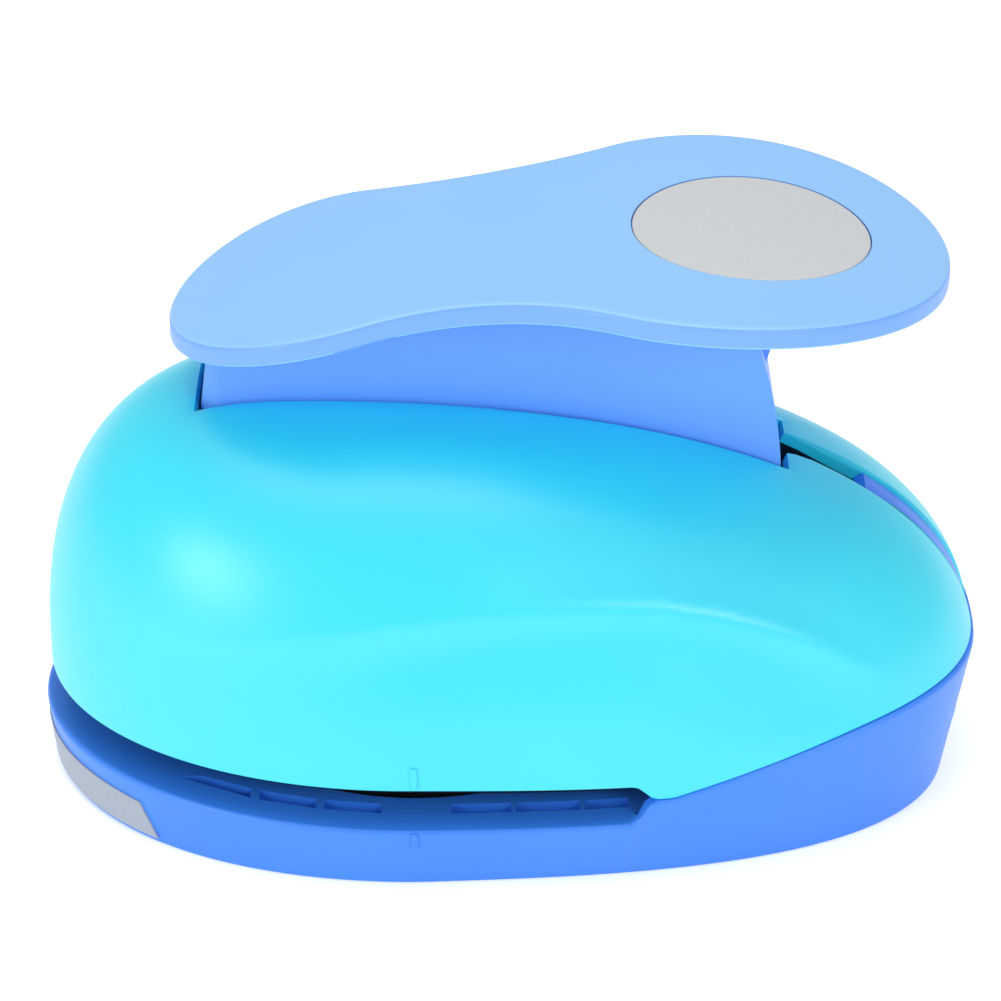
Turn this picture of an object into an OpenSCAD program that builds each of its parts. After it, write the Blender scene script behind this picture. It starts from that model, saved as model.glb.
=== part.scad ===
// Lever craft punch. A long handle turns about a front pivot and presses a round cutter
// through paper lying in the open throat between the base and the cover.
// X runs from the front nose to the rear, Y across, Z up. The base rests on Z = 0.

/* [Base] */
// Height of the base's rim beside the throat
rim_z = 11.7; // [11:0.1:11.9]
// Height of the flat deck that the paper lies on
deck_z = 12; // [11.6:0.1:12.2]
// Half of the base's width at the floor
base_half = 47.3; // [46.5:0.1:48]
// How far the base wall leans out from floor to rim
base_flare = 1.6; // [1.2:0.1:2]
// Wall thickness of the base and the cover
wall = 2.2; // [1.8:0.1:2.6]

/* [Cover] */
// Height of the cover's roof at its highest point
roof_z = 73.3; // [71:0.1:74]
// Height of the cover's lower edge above the throat
lip_z = 19; // [18.8:0.1:20]
// Half of the cover's width at its lower edge
cover_half = 47.4; // [46:0.1:47.6]
// Front end of the slot that the lever passes through
slot_front = -53; // [-54:0.1:-52.8]
// Rear end of the slot that the lever passes through
slot_rear = 48.4; // [48:0.1:50]
// Half of the lever slot's width
slot_half = 9.2; // [9.1:0.1:9.5]
// Half of the narrow rear slot's width
rear_slot_half = 3.2; // [3:0.1:3.6]

/* [Handle] */
// Height of the handle's crest
crest_z = 101; // [100:0.1:103]
// Position of the crest along the handle
crest_x = 27; // [26:0.5:32]
// Radius of the arch along the handle's top
arch_r = 234; // [225:1:240]
// Thickness of the handle plate
pad_t = 4; // [3.6:0.1:4.4]
// Radius of the handle's narrow front end
pad_front_r = 27.4; // [27:0.1:28]
// Radius of the handle's wide rear end
pad_rear_r = 38; // [37:0.1:39]
// Radius of the hollow waist on each side of the handle
pad_waist_r = 58.7; // [56:0.1:62]
// Centre of the narrow front end
pad_front_x = -29.65; // [-30:0.05:-29]
// Centre of the wide rear end
pad_rear_x = 36.25; // [35:0.05:37]
// Radius of the inlaid disc
disc_r = 20; // [18:0.1:21]
// Centre of the inlaid disc
disc_x = 40.95; // [39:0.05:42]

/* [Mechanism] */
// Radius of the round cutter
cut_r = 37.5; // [37:0.1:37.6]
// Centre of the cutter and the die
die_x = -15.5; // [-16:0.1:-15]
// Radial running clearance of the cutter in its guide and die
cut_gap = 0.08; // [0.05:0.01:0.1]
// Height of the pivot
pivot_z = 54; // [53:0.1:55]
// Position of the pivot along the base
pivot_x = -41; // [-41.5:0.1:-40.5]
// Radius of the pivot pin
pivot_r = 3; // [2.8:0.1:3.2]
// Distance from the pivot to the press pin
press_arm = 25.5; // [25.3:0.05:25.7]
// Angle of the press pin above the pivot at rest
press_rise = 9; // [8.9:0.1:9.1]
// Radius of the press pin
press_r = 5; // [4.8:0.1:5.2]
// Half of the lever arm's width
arm_half = 8.7; // [8.4:0.1:8.7]
// Radius of the guide posts
post_r = 2.5; // [2.3:0.1:2.6]

/* [Hidden] */
$fn = 64;
around = 96;
shade = [0.32, 0.58, 0.99];
sky = [0.6, 0.79, 0.99];
aqua = [0.29, 0.9, 0.97];
pale_grey = [0.8, 0.81, 0.82];
steel = [0.62, 0.64, 0.67];
zinc = [0.72, 0.74, 0.78];
joint_gap = 0.15;
slip = 0.05;
big = 200;
eps = 0.02;

// Plan of the base: a blunt oval with its widest point at the die.
base_x = -15.5;
base_front = 65.2;
base_rear = 94;
front_lean = 1.5;
rear_lean = 4;
// Plan of the cover at its lower edge, with a short straight side between its two ends.
cover_x = -10;
cover_front = 70.9;
cover_rear = 92.6;
cover_straight = 7;
// The roof's highest point, and how square each slope is between the lower edge and the roof.
apex_x = -36.3;
apex_front = apex_x - (cover_x - cover_front);
apex_rear = cover_x + cover_rear - apex_x;
front_round = 2.6;
rear_round = 2.215;
side_round = 2.37;
// The throat's rear end, and the seam that climbs to the back from there.
throat_end = 21.3;
seam_x = 25.3;
seam_low = 16.3;
seam_rise = 10.3;
seam_from = 28;
seam_run = 55;
// The sloping ledge round the deck, and the hollow below it.
ledge = 5;
land = 0.4;
rear_land = 1.4;
cavity_mid = 5.5;
cavity_top = 8.8;
// The die's well, with a round front and a square rear, and the chute through the base.
die_bottom = 9;
die_r = 38.9;
die_half = 33;
die_rear_x = 18;
well_gap = 0.3;
chute_r = 37.9;
chute_wall = 4.5;
stop_t = 1.2;
guide_bottom = deck_z + stop_t;
guide_top = guide_bottom + 5;
rear_plate_x = 46;
cutter_low = 14.5;
bridge_z = 34;
bridge_t = 3;
spring_low = guide_top;
post_dx = 40.5;
post_y = 22;
press_x = pivot_x + press_arm * cos(press_rise);
press_z = pivot_z + press_arm * sin(press_rise);
arm_reach = 88;
arch_z = crest_z - arch_r;
disc_t = 0.95;
boss_x = 58;
boss_y = 22;
boss_low = lip_z + 0.6;
nose_x = -48;
nose_y = 28.5;
stack_x = 38;
stack_ys = [-28, -10, 10, 28];
bracket_screw_xs = [-63.5, -57.5];
bracket_screw_y = 6.4;
pad_screw_xs = [-26, 4, 28];
bridge_screw_r = 31.8;
bridge_turns = [45 : 90 : 315];
// Pockets along the deck's edge: front end, rear end, and how far the front end slants.
pockets = [[-52.4, -43.6, 4.2], [-42.1, -32.3, 0], [-31, -21.2, 0],
    [-9.4, 0.8, 0], [1.6, 12.4, 0], [13.2, 20.6, 0]];
pocket_deep = 2.4;
pocket_wide = 2.8;
pocket_edge = 0.1;
// Screws: the hole that a shank passes, the hole that its thread holds, and its head.
screw_pass_r = 1.85;
head_well_r = 3.5;
head_well_z = 5.4;
screw_seat_z = 3.2;
mark_half = 0.65;

function ease(u) = let (k = max(0, min(1, u))) k * k * (3 - 2 * k);
function spow(v, p) = sign(v) * pow(abs(v), p);

// One point of an egg-shaped outline, with its own front and rear length and roundness and a
// straight side between them. The pinch narrows the rear end.
function egg(t, xc, front, rear, half, nf, nr, pinch, straight) =
    let (
        n = cos(t) < 0 ? nf : nr,
        u = pow(abs(cos(t)), 2 / n),
        narrow = cos(t) < 0 ? 1 : 1 - pinch * u * (1 - u)
    )
    [xc + (cos(t) < 0 ? -straight - (front - straight) * u : rear * u),
        half * narrow * spow(sin(t), 2 / n)];

function turn(i) = 360 * (i + 0.5) / around;

// Height of the seam where the cover meets the base, behind the throat.
function seam(x) = seam_low + seam_rise * sin(90 * max(0, min(1, (x - seam_from) / seam_run)));
function behind(x) = ease((x - throat_end) / (seam_x - throat_end));
function lip(x) = lip_z + (seam(x) - lip_z) * behind(x);
function rim(x) =
    let (front_rise = (deck_z - rim_z) * pow(max(0, base_x - x) / (base_front + front_lean), 2))
    rim_z + front_rise + (seam(x) - joint_gap - rim_z) * behind(x);

function base_at(t, lean, inset) =
    egg(t, base_x, base_front + front_lean * lean - inset, base_rear + rear_lean * lean - inset,
        base_half + base_flare * lean - inset, 2 + 0.08 * (1 - lean), 2.5 + 0.06 * lean, 0.1 - 0.05 * lean, 0);
function ledge_inset(x) = ledge + (wall + 0.4 - ledge) * ease((x - throat_end + 2) / 8);
function base_ring(lean, inset) =
    [for (i = [0 : around - 1])
        let (p = base_at(turn(i), lean, inset))
        [p.x, p.y, lean * rim(base_at(turn(i), 1, 0).x)]];
function base_top_ring() =
    [for (i = [0 : around - 1])
        let (q = base_at(turn(i), 1, 0), p = base_at(turn(i), 1, land + rear_land * behind(q.x)))
        [p.x, p.y, rim(q.x)]];
function base_flat(z, lean, inset) =
    [for (i = [0 : around - 1]) let (p = base_at(turn(i), lean, inset)) [p.x, p.y, z]];
function deck_ring() =
    [for (i = [0 : around - 1])
        let (q = base_at(turn(i), 1, 0), p = base_at(turn(i), 1, ledge_inset(q.x)))
        [p.x, p.y, deck_z]];

// A point on the leaning wall of the base at height z, moved outward.
function wall_pt(t, z, out) =
    let (
        lean = z / rim(base_at(t, 1, 0).x),
        p = (1 - lean) * base_at(t, 0, -out) + lean * base_at(t, 1, -out)
    )
    [p.x, p.y, z];

// One point of the domed cover: climb is 0 at its lower edge and 1 at the roof. The edge is cut
// from one smooth dome, so its height does not change the shape above it.
function fall(h, n) = pow(1 - pow(h, n), 1 / n);
function dome(t, climb, inset) =
    let (
        low = lip(egg(t, cover_x, cover_front, cover_rear, cover_half, 2.01, 2.59, 0, cover_straight).x),
        start = (low - lip_z) / (roof_z - lip_z),
        rise = start + (1 - start) * climb,
        h = max(0, rise),
        k = sqrt(1 - h * h),
        xc = apex_x + (cover_x - apex_x) * k,
        xf = apex_x - (apex_front - inset) * fall(h, front_round),
        xr = apex_x + (apex_rear - inset) * fall(h, rear_round),
        half = (cover_half - inset) * fall(h, side_round),
        p = egg(t, xc, xc - xf, xr - xc, half, 2.01 + 0.14 * h, 2.59 - 0.32 * h, 0, cover_straight * k)
    )
    [p.x, p.y, lip_z + rise * (roof_z - inset - lip_z)];
function dome_ring(h, inset) = [for (i = [0 : around - 1]) dome(turn(i), h, inset)];
function step_h(k, count) = sin(90 * k / count);

// Outline of the handle: two round ends joined by a hollow waist, set in by d.
waist_d1 = pad_front_r + pad_waist_r;
waist_d2 = pad_rear_r + pad_waist_r;
pad_span = pad_rear_x - pad_front_x;
waist_dx = (waist_d1 * waist_d1 - waist_d2 * waist_d2 + pad_span * pad_span) / (2 * pad_span);
waist_y = sqrt(waist_d1 * waist_d1 - waist_dx * waist_dx);
rear_turn = atan2(waist_y, waist_dx - pad_span);
front_turn = atan2(waist_y, waist_dx);
end_steps = 20;
waist_steps = 12;
function arc_pt(cx, cy, r, a) = [cx + r * cos(a), cy + r * sin(a)];
function pad_half(d) = concat(
    [for (i = [0 : end_steps - 1])
        arc_pt(pad_rear_x, 0, pad_rear_r - d, rear_turn * (i + 0.5) / end_steps)],
    [for (i = [0 : waist_steps - 1])
        arc_pt(pad_front_x + waist_dx, waist_y, pad_waist_r + d,
            180 + rear_turn + (front_turn - rear_turn) * (i + 0.5) / waist_steps)],
    [for (i = [0 : end_steps - 1])
        arc_pt(pad_front_x, 0, pad_front_r - d,
            front_turn + (180 - front_turn) * (i + 0.5) / end_steps)]);
function arch(x) = arch_z + sqrt(arch_r * arch_r - (x - crest_x) * (x - crest_x));
function pad_ring(d, depth) =
    let (h = pad_half(d), n = len(h))
    concat([for (p = h) [p.x, p.y, arch(p.x) - depth]],
        [for (i = [n - 1 : -1 : 0]) [h[i].x, -h[i].y, arch(h[i].x) - depth]]);

// A closed skin through a list of equal rings, with a ruled cap at each end.
module loft(rings) {
    n = len(rings[0]);
    last = (len(rings) - 1) * n;
    sides = [for (k = [0 : len(rings) - 2], i = [0 : n - 1])
        let (a = k * n + i, b = k * n + (i + 1) % n)
        each [[a, a + n, b + n], [a, b + n, b]]];
    first_cap = [for (i = [0 : n / 2 - 2])
        each [[i, i + 1, n - 2 - i], [i, n - 2 - i, n - 1 - i]]];
    last_cap = [for (i = [0 : n / 2 - 2])
        each [[last + n - 2 - i, last + i + 1, last + i],
            [last + n - 1 - i, last + n - 2 - i, last + i]]];
    polyhedron(points = [for (r = rings) each r], faces = concat(sides, first_cap, last_cap));
}

module at(x, y, z) {
    translate([x, y, z]) children();
}

module both_sides() {
    children();
    mirror([0, 1, 0]) children();
}

// A cylinder lying across the punch, centred on Y = 0. Wide arcs are drawn more finely.
module across(x, z, r, length) {
    at(x, length / 2, z) rotate([90, 0, 0]) cylinder(h = length, r = r, $fn = r > 50 ? 256 : 64);
}

// Places its children on the handle's arch, with Z along the arch's outward normal.
module on_arch(x) {
    translate([crest_x, 0, arch_z]) rotate([0, asin((x - crest_x) / arch_r), 0]) children();
}

module box_xyz(x0, x1, y0, y1, z0, z1) {
    translate([x0, y0, z0]) cube([x1 - x0, y1 - y0, z1 - z0]);
}

module pan_screw(head_r, head_t, shank_r, shank_len) {
    cylinder(h = head_t, r = head_r);
    at(0, 0, head_t) cylinder(h = shank_len, r = shank_r);
}

module post_places() {
    for (sx = [-1, 1], sy = [-1, 1]) at(die_x + sx * post_dx, sy * post_y, 0) children();
}

// Half of the deck's width at x.
function deck_edge(x) =
    let (
        before = x < base_x,
        n = before ? 2 : 2.56,
        u = abs(x - base_x) / (before ? base_front + front_lean - ledge : base_rear + rear_lean - ledge),
        narrow = before ? 1 : 1 - 0.05 * u * (1 - u)
    )
    (base_half + base_flare - ledge) * narrow * pow(1 - pow(u, n), 1 / n);

module pocket(front, rear, slant) {
    tip = front - slant;
    at(0, 0, deck_z - pocket_deep) linear_extrude(5)
        polygon([[front, deck_edge(front) - pocket_wide], [rear, deck_edge(rear) - pocket_wide],
            [rear, deck_edge(rear) - pocket_edge], [tip, deck_edge(tip) - pocket_edge]]);
}

module base_shell() color(shade) {
    rib = 1.6;
    rib_low = 1;
    rib_top = deck_z - 1;
    cross_rib_half = 37.8;
    side_rib_y = 15;
    side_ribs = [26.5, 72];
    nose_rib = [-79.2, -55];
    post_wall_r = 4.6;
    plate_ledge = 1.8;
    mark_low = 8.6;
    mark_t = 0.3;
    difference() {
        union() {
            difference() {
                loft([base_ring(0, 0), base_ring(1, 0), base_top_ring(), deck_ring()]);
                loft([base_flat(-1, 0, wall), base_flat(cavity_mid, 0.5, wall + 0.2),
                    base_flat(cavity_top, 0.9, ledge + 0.4)]);
            }
            at(die_x, 0, 0) cylinder(h = die_bottom + 1, r = chute_r + chute_wall);
            box_xyz(die_rear_x + 2, rear_plate_x + 1, -die_half - plate_ledge, die_half + plate_ledge,
                die_bottom - 2.5, die_bottom + 1);
            for (y = stack_ys) at(stack_x, y, 0) cylinder(h = die_bottom, r = post_wall_r);
            both_sides() at(boss_x, boss_y, 0) cylinder(h = lip_z + 0.4, r = post_wall_r);
            box_xyz(rear_plate_x, rear_plate_x + rib, -cross_rib_half, cross_rib_half, rib_low, rib_top);
            both_sides()
                box_xyz(side_ribs[0], side_ribs[1], side_rib_y, side_rib_y + rib, rib_low, rib_top);
            box_xyz(nose_rib[0], nose_rib[1], -rib / 2, rib / 2, rib_low, rib_top);
            both_sides()
                box_xyz(die_x - mark_half, die_x + mark_half, base_half - 1,
                    base_half + base_flare + mark_t, mark_low, rim_z - mark_t);
        }
        at(die_x, 0, die_bottom) cylinder(h = 10, r = die_r + well_gap);
        box_xyz(die_rear_x, rear_plate_x - 0.7, -die_half - well_gap, die_half + well_gap, die_bottom, 30);
        at(die_x, 0, -1) cylinder(h = 20, r = chute_r);
        for (y = stack_ys) {
            at(stack_x, y, -1) cylinder(h = 20, r = screw_pass_r);
            at(stack_x, y, -1) cylinder(h = head_well_z + 1, r = head_well_r);
        }
        both_sides() {
            at(boss_x, boss_y, -1) cylinder(h = 40, r = screw_pass_r);
            at(boss_x, boss_y, -1) cylinder(h = head_well_z + 1, r = head_well_r);
            for (p = pockets) pocket(p[0], p[1], p[2]);
        }
    }
}

module cover_skin(inset) {
    outer = [for (k = [0 : 12]) dome_ring(step_h(k, 12.3), inset)];
    inner = [for (k = [8 : -1 : 0]) dome_ring(step_h(k, 8.3), inset + wall)];
    loft(concat(inner, outer));
}

module cover_shell() color(aqua) {
    boss_top = 44.4;
    boss_r = 4;
    boss_bore = [1.55, 38];
    nose_top = 57;
    nose_r = 3.4;
    nose_bore = [1.35, 32];
    mark_t = 0.4;
    mark_high = 4.4;
    difference() {
        union() {
            cover_skin(0);
            both_sides() {
                at(boss_x, boss_y, boss_low) cylinder(h = boss_top - boss_low, r = boss_r);
                at(nose_x, nose_y, guide_top + eps) cylinder(h = nose_top - guide_top, r = nose_r);
                box_xyz(die_x - mark_half, die_x + mark_half, cover_half - 1.2, cover_half + mark_t,
                    lip_z + mark_t, lip_z + mark_high);
            }
        }
        box_xyz(slot_front, slot_rear, -slot_half, slot_half, 40, big);
        box_xyz(slot_rear - 10, big, -rear_slot_half, rear_slot_half, lip_z - 5, big);
        both_sides() {
            at(boss_x, boss_y, 0) cylinder(h = boss_bore[1], r = boss_bore[0]);
            at(nose_x, nose_y, 0) cylinder(h = nose_bore[1], r = nose_bore[0]);
        }
    }
}

// The strip that closes the narrow rear slot below the handle's reach.
module rear_spine() color(shade) {
    half = rear_slot_half - joint_gap;
    recess = 0.35;
    front_x = 62.65;
    strip_z = [25, 54];
    leg_x = [76.6, 78.6];
    leg_top = 32;
    intersection() {
        cover_skin(recess);
        box_xyz(front_x, big, -half, half, strip_z[0], strip_z[1]);
    }
    box_xyz(leg_x[0], leg_x[1], -half, half, deck_z + eps, leg_top);
}

module front_label() color(pale_grey) {
    low_reach = 48;
    top_reach = 44.5;
    low_z = 1.2;
    top_z = 8.2;
    corner_drop = 0.5;
    lift = 0.05;
    thick = 0.4;
    steps = 48;
    loft([for (i = [0 : steps])
        let (
            s = 2 * i / steps - 1,
            low_t = 180 + low_reach * s,
            top_t = 180 + top_reach * s,
            z = top_z - corner_drop * pow(abs(s), 6)
        )
        [wall_pt(low_t, low_z, lift), wall_pt(low_t, low_z, thick),
            wall_pt(top_t, z, thick), wall_pt(top_t, z, lift)]]);
}

module die_plate() color(steel) difference() {
    union() {
        at(die_x, 0, die_bottom) cylinder(h = deck_z - die_bottom, r = die_r);
        box_xyz(die_rear_x + well_gap, rear_plate_x - 1, -die_half, die_half, die_bottom, deck_z);
    }
    at(die_x, 0, 0) cylinder(h = 40, r = cut_r + cut_gap);
    for (y = stack_ys) at(stack_x, y, 0) cylinder(h = 40, r = screw_pass_r);
}

module paper_stop() color(zinc) difference() {
    stop_x = 28;
    stop_half = 36;
    box_xyz(stop_x, rear_plate_x, -stop_half, stop_half, deck_z + eps, guide_bottom - eps);
    for (y = stack_ys) at(stack_x, y, 0) cylinder(h = 40, r = screw_pass_r);
}

module guide_plate() color(steel) difference() {
    plate_front = 60;
    plate_rear = 80;
    plate_half = 39.4;
    stack_bore_r = 1.78;
    bracket_bore_r = 1.55;
    nose_bore_r = 1.4;
    nose_head_r = 2.7;
    at(0, 0, guide_bottom) linear_extrude(guide_top - guide_bottom)
        polygon([for (i = [0 : around - 1])
            let (p = egg(turn(i), cover_x, plate_front, plate_rear, plate_half, 2.4, 2.6, 0, 0))
            [min(p.x, rear_plate_x + 0.001 * p.y), p.y]]);
    at(die_x, 0, 0) cylinder(h = 40, r = cut_r + cut_gap);
    for (y = stack_ys) at(stack_x, y, 0) cylinder(h = 40, r = stack_bore_r);
    post_places() cylinder(h = 40, r = post_r + eps);
    for (x = bracket_screw_xs) both_sides() at(x, bracket_screw_y, 14) cylinder(h = 10, r = bracket_bore_r);
    both_sides() {
        at(nose_x, nose_y, 0) cylinder(h = 40, r = nose_bore_r);
        at(nose_x, nose_y, guide_bottom - 1) cylinder(h = 3, r = nose_head_r);
    }
}

module die_screws() color(zinc) {
    for (y = stack_ys) at(stack_x, y, screw_seat_z) pan_screw(3, 2.2, 1.75, 12.4);
}

module guide_posts() color(steel) post_places() {
    post_len = 29.5;
    bevel = 0.8;
    at(0, 0, guide_bottom + eps) cylinder(h = post_len, r = post_r);
    at(0, 0, guide_bottom + eps + post_len) cylinder(h = 1, r1 = post_r, r2 = post_r - bevel);
}

// Wire coils drawn at rest, from the guide plate up to the bridge.
module return_springs() color(zinc) {
    coil_r = 4;
    wire_r = 0.65;
    turns = 4;
    per_turn = 12;
    low = spring_low + wire_r + 0.1;
    rise = bridge_z - wire_r - 0.1 - low;
    post_places() loft([for (i = [0 : turns * per_turn])
        let (a = 360 * i / per_turn, z = low + rise * i / (turns * per_turn))
        [for (j = [0 : 5])
            let (r = coil_r - wire_r * cos(60 * j))
            [r * cos(a), r * sin(a), z - wire_r * sin(60 * j)]]]);
}

// Two cheeks that stand in front of the cutter and lean back to the pivot.
module fulcrum_bracket() color(steel) {
    inner = arm_half + 0.9;
    cheek_t = 3;
    foot_x = [-66, -54];
    foot_half = 15;
    foot_t = 2.5;
    eye_r = 7;
    floor_z = guide_top + eps;
    difference() {
        union() {
            box_xyz(foot_x[0], foot_x[1], -foot_half, foot_half, floor_z, floor_z + foot_t);
            both_sides() at(0, inner + cheek_t, 0) rotate([90, 0, 0]) linear_extrude(cheek_t) {
                polygon([[foot_x[0], floor_z], [foot_x[1], floor_z], [foot_x[1], 37.5],
                    [pivot_x + 5.5, 49.6], [pivot_x + 6.9, pivot_z], [pivot_x - 4.6, 59.2],
                    [-57, 46], [foot_x[0], 26]]);
                translate([pivot_x, pivot_z]) circle(r = eye_r);
            }
        }
        across(pivot_x, pivot_z, pivot_r + eps, 60);
        for (x = bracket_screw_xs) both_sides() at(x, bracket_screw_y, 0) cylinder(h = 24, r = 1.7);
    }
}

module bracket_screws() color(zinc) {
    for (x = bracket_screw_xs) both_sides()
        at(x, bracket_screw_y, guide_top + 4.4) mirror([0, 0, 1]) pan_screw(2.8, 1.8, 1.5, 6);
}

module pivot_pin() color(steel) {
    pin_len = 30;
    across(pivot_x, pivot_z, pivot_r, pin_len);
}

module pivot_clips() color(zinc) both_sides() {
    clip_y = 14.2;
    clip_t = 0.8;
    clip_ring = 2;
    at(pivot_x, clip_y, pivot_z) rotate([90, 0, 0]) difference() {
        cylinder(h = clip_t, r = pivot_r + clip_ring);
        at(0, 0, -1) cylinder(h = 3, r = pivot_r + eps);
        at(0, 0, -1) box_xyz(-1.4, 1.4, -8, 0, 0, 3);
    }
}

module cover_screws() color(zinc) {
    both_sides() at(boss_x, boss_y, screw_seat_z) pan_screw(3.2, 2.2, 1.5, 30);
}

module nose_screws() color(zinc) {
    both_sides() at(nose_x, nose_y, guide_bottom + 0.15) pan_screw(2.5, 1.75, 1.3, 14);
}

module handle_pad() color(sky) difference() {
    loft([pad_ring(1.4, pad_t), pad_ring(0.3, pad_t - 0.5), pad_ring(0, pad_t - 1.2),
        pad_ring(0, 0.9), pad_ring(0.3, 0.3), pad_ring(1.2, 0)]);
    difference() {
        on_arch(disc_x) at(0, 0, arch_r - pad_t) cylinder(h = 10, r = disc_r + 0.1);
        across(crest_x, arch_z, arch_r - disc_t - eps, big);
    }
    for (x = pad_screw_xs) on_arch(x) at(0, 0, arch_r - 10) cylinder(h = 8.4, r = 1.55);
}

module handle_disc() color(pale_grey) difference() {
    intersection() {
        on_arch(disc_x) at(0, 0, arch_r - pad_t) cylinder(h = 10, r = disc_r);
        across(crest_x, arch_z, arch_r, big);
    }
    across(crest_x, arch_z, arch_r - disc_t, big);
}

module arm_side(front_x, low_z, reach, drop, half) intersection() {
    step_z = [69, 84];
    step_back = 2.1;
    rear_x = 60;
    above = 120;
    at(0, half, 0) rotate([90, 0, 0]) linear_extrude(2 * half)
        polygon([[front_x, low_z], [front_x, step_z[0]], [front_x + step_back, step_z[1]],
            [front_x + step_back, above], [rear_x, above], [rear_x, low_z + 2]]);
    across(pivot_x, pivot_z, reach, 2 * half + 2);
    across(crest_x, arch_z, arch_r - drop, 2 * half + 2);
}

module arm_plan(half, front_x, corner_r) {
    linear_extrude(big) {
        translate([front_x + corner_r, -half]) square([120, 2 * half]);
        translate([front_x, corner_r - half]) square([120, 2 * (half - corner_r)]);
        for (s = [-1, 1]) translate([front_x + corner_r, s * (half - corner_r)]) circle(r = corner_r);
    }
}

module lever_arm() color(shade) {
    front_x = -52.1;
    low_z = 50;
    skin = 2.5;
    drop = pad_t + slip;
    gusset_half = 2;
    gusset_r = 22.2;
    corner_r = 4;
    eye_r = 7;
    difference() {
        union() {
            difference() {
                intersection() {
                    arm_side(front_x, low_z, arm_reach, drop, arm_half + 1);
                    arm_plan(arm_half, front_x, corner_r);
                }
                arm_side(front_x + skin, low_z - 10, arm_reach - skin, drop + skin, arm_half - skin);
            }
            across(pivot_x, pivot_z, eye_r, 2 * arm_half);
            difference() {
                intersection() {
                    box_xyz(36, 64, -gusset_half, gusset_half, 72, 99);
                    across(crest_x, arch_z, arch_r - drop, 20);
                }
                across(66, 72, gusset_r, 20);
                across(pivot_x, pivot_z, arm_reach - skin + 0.5, 20);
            }
        }
        across(pivot_x, pivot_z, pivot_r + slip, 60);
        across(press_x, press_z, press_r + eps, 60);
        for (x = pad_screw_xs) on_arch(x) at(0, 0, arch_r - 12) cylinder(h = 20, r = 1.6);
    }
}

module press_pin() color(steel) {
    across(press_x, press_z, press_r, 2 * arm_half - 0.2);
}

module pad_screws() color(zinc) {
    for (x = pad_screw_xs)
        on_arch(x) at(0, 0, arch_r - pad_t - 2.5 - 2.1) pan_screw(2.7, 2, 1.5, 4.6);
}

// The cutter's lower edge is arched, so it shears from its two ends to its middle.
module punch_cutter() color(steel) difference() {
    shear_r = 400;
    shear_rise = 1.7;
    cutter_wall = 3;
    window_r = 29;
    at(die_x, 0, cutter_low) cylinder(h = bridge_z - cutter_low - eps, r = cut_r);
    at(die_x, 0, 0) cylinder(h = bridge_z - 3, r = cut_r - cutter_wall);
    at(die_x, 0, 0) cylinder(h = 50, r = window_r);
    across(die_x, cutter_low - shear_r + shear_rise, shear_r, big);
    for (a = bridge_turns)
        at(die_x, 0, 0) rotate([0, 0, a]) at(bridge_screw_r, 0, 20) cylinder(h = 20, r = 1.35);
}

module punch_bridge() color(zinc) {
    pad_top = press_z - press_r - 0.15;
    arm_turn = atan2(post_y, post_dx);
    arm_start = 30;
    spoke_half = 4;
    eye_r = 6.4;
    bush_bore_r = 4.22;
    disc_gap = 0.5;
    rib_top = 42;
    union() {
        at(die_x, 0, bridge_z) linear_extrude(bridge_t) difference() {
            union() {
                circle(r = cut_r - disc_gap);
                for (a = [arm_turn, 180 - arm_turn, 180 + arm_turn, -arm_turn])
                    rotate([0, 0, a]) translate([arm_start, -spoke_half])
                        square([11.6, 2 * spoke_half]);
                for (sx = [-1, 1], sy = [-1, 1]) translate([sx * post_dx, sy * post_y]) circle(r = eye_r);
            }
            for (sx = [-1, 1], sy = [-1, 1]) translate([sx * post_dx, sy * post_y])
                circle(r = bush_bore_r);
            for (a = bridge_turns) rotate([0, 0, a]) translate([bridge_screw_r, 0]) circle(r = 1.45);
        }
        box_xyz(-28, -3, -5, 5, bridge_z + 0.5, pad_top);
        box_xyz(-42, 12, -3, 3, bridge_z + 0.5, rib_top);
    }
}

module bridge_screws() color(zinc) {
    for (a = bridge_turns)
        at(die_x, 0, 0) rotate([0, 0, a]) at(bridge_screw_r, 0, bridge_z + bridge_t + eps + 1.6)
            mirror([0, 0, 1]) pan_screw(2.5, 1.6, 1.3, 5.5);
}

module guide_bushes() color(pale_grey) post_places() difference() {
    bush_len = 8;
    bush_r = 4.2;
    at(0, 0, bridge_z) cylinder(h = bush_len, r = bush_r);
    at(0, 0, bridge_z - 1) cylinder(h = bush_len + 4, r = post_r + 0.06);
}

base_shell();
rear_spine();
cover_shell();
front_label();
die_plate();
paper_stop();
guide_plate();
die_screws();
guide_posts();
return_springs();
fulcrum_bracket();
bracket_screws();
pivot_pin();
pivot_clips();
cover_screws();
nose_screws();
handle_pad();
handle_disc();
lever_arm();
press_pin();
pad_screws();
punch_cutter();
punch_bridge();
bridge_screws();
guide_bushes();
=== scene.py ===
# %% [markdown]
# # A lever craft punch
# This notebook dresses an imported CAD model of a hand punch. The model file gives every solid at its
# real place in metres. The moulded plastic shells are rebuilt here as finer meshes with rounded
# edges, and the steel parts inside keep their CAD shape and get a real finish.

# %% Start
import math

import bmesh
import bpy
import numpy as np
from mathutils import Matrix, Vector


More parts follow.
